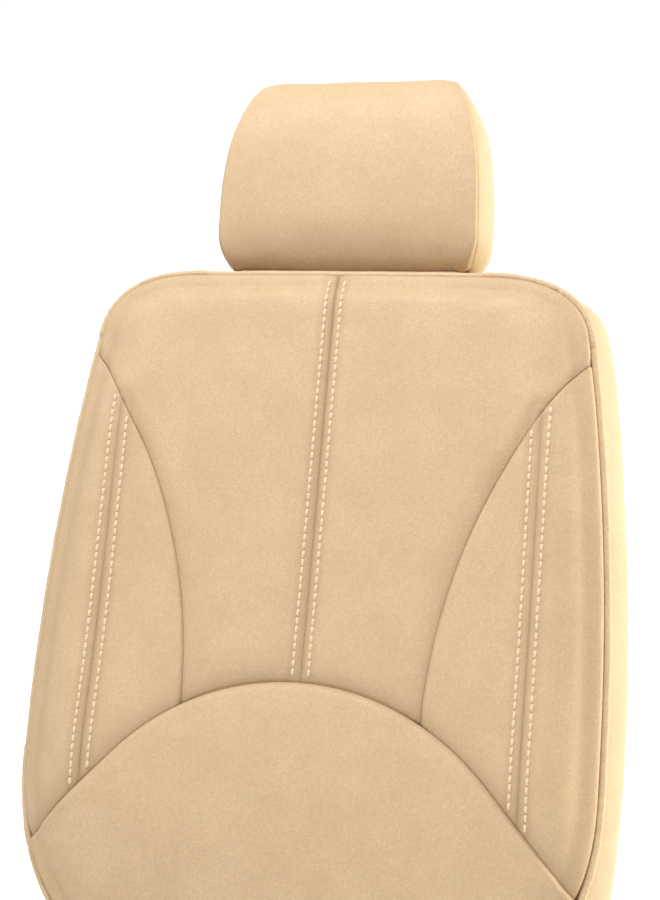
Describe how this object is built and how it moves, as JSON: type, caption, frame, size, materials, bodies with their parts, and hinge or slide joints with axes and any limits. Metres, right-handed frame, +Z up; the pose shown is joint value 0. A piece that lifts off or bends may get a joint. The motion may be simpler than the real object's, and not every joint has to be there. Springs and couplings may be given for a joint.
{
  "type": "vehicle seat cover set",
  "caption": "Fitted leatherette cover set for a vehicle front seat: a hollow padded backrest cover with stitched panels and a separate hollow headrest cover.",
  "frame": {"origin": "in the bottom opening of the backrest cover, on the middle plane, straight below the line of the headrest posts", "axes": "+Z up along the backrest, -Y towards the sitter, +X to the right seen from the front"},
  "size_m": [0.526, 0.1312, 0.9021],
  "materials": {
    "leatherette": "soft grained, semi-matt",
    "piping": "smooth, semi-matt",
    "foam": "matt open-cell foam",
    "back_fabric": "matt knitted polyester",
    "webbing": "woven, matt",
    "hook_and_loop": "matt",
    "zipper_plastic": "moulded",
    "eyelet_plastic": "moulded, fine texture",
    "steel": "nickel-plated, satin"
  },
  "bodies": {
    "root": {"centre_panel_left": "leatherette", "centre_panel_right": "leatherette", "inner_bolster_left": "leatherette", "inner_bolster_right": "leatherette", "outer_bolster_left": "leatherette", "outer_bolster_right": "leatherette", "lower_panel": "leatherette", "centre_foam_left": "foam", "centre_foam_right": "foam", "inner_foam_left": "foam", "inner_foam_right": "foam", "outer_foam_left": "foam", "outer_foam_right": "foam", "lower_foam": "foam", "front_piping": "piping", "side_strip_left": "leatherette", "side_strip_right": "leatherette", "top_strip": "leatherette", "eyelet_left": "eyelet_plastic", "eyelet_right": "eyelet_plastic", "eyelet_washer_left": "eyelet_plastic", "eyelet_washer_right": "eyelet_plastic", "back_yoke": "back_fabric", "back_panel": "back_fabric", "back_side_left": "back_fabric", "back_side_right": "back_fabric", "zipper_left": "zipper_plastic", "zipper_right": "zipper_plastic", "zipper_stops": "zipper_plastic", "map_pocket": "back_fabric", "pocket_binding": "webbing", "rear_hem": "leatherette", "hem_loop_strip": "hook_and_loop", "strap_left": "webbing", "strap_right": "webbing"},
    "headrest": {"headrest_wrap": "leatherette", "headrest_side_left": "leatherette", "headrest_side_right": "leatherette", "headrest_foam": "foam", "headrest_closure": "leatherette", "closure_hook_strip": "hook_and_loop", "closure_loop_strip": "hook_and_loop"},
    "flap": {"bottom_flap": "leatherette", "flap_hook_strip": "hook_and_loop"},
    "slider_left": {"zipper_slider_left": "steel"},
    "slider_right": {"zipper_slider_right": "steel"},
    "pull_left": {"zipper_pull_left": "steel"},
    "pull_right": {"zipper_pull_right": "steel"},
    "hook_left": {"steel_hook_left": "steel"},
    "hook_right": {"steel_hook_right": "steel"}
  },
  "joints": [
    {"name": "headrest_height", "type": "slide", "parent": "root", "child": "headrest", "axis": [0, 0, 1], "range_m": [0, 0.065]},
    {"name": "bottom_flap_hinge", "type": "hinge", "parent": "root", "child": "flap", "pos_m": [0, -0.02, -0.0031], "axis": [-1, 0, 0], "range_deg": [0, 95]},
    {"name": "zipper_left", "type": "slide", "parent": "root", "child": "slider_left", "axis": [0, 0, 1], "range_m": [0, 0.4055]},
    {"name": "zipper_pull_left", "type": "hinge", "parent": "slider_left", "child": "pull_left", "pos_m": [-0.171, 0.0502, 0.0242], "axis": [1, 0, 0], "range_deg": [0, 150]},
    {"name": "hook_swing_left", "type": "hinge", "parent": "root", "child": "hook_left", "pos_m": [-0.1345, 0.041, -0.048], "axis": [1, 0, 0], "range_deg": [-100, 100]},
    {"name": "zipper_right", "type": "slide", "parent": "root", "child": "slider_right", "axis": [0, 0, 1], "range_m": [0, 0.4055]},
    {"name": "zipper_pull_right", "type": "hinge", "parent": "slider_right", "child": "pull_right", "pos_m": [0.171, 0.0502, 0.0242], "axis": [1, 0, 0], "range_deg": [0, 150]},
    {"name": "hook_swing_right", "type": "hinge", "parent": "root", "child": "hook_right", "pos_m": [0.1345, 0.041, -0.048], "axis": [1, 0, 0], "range_deg": [-100, 100]}
  ]
}
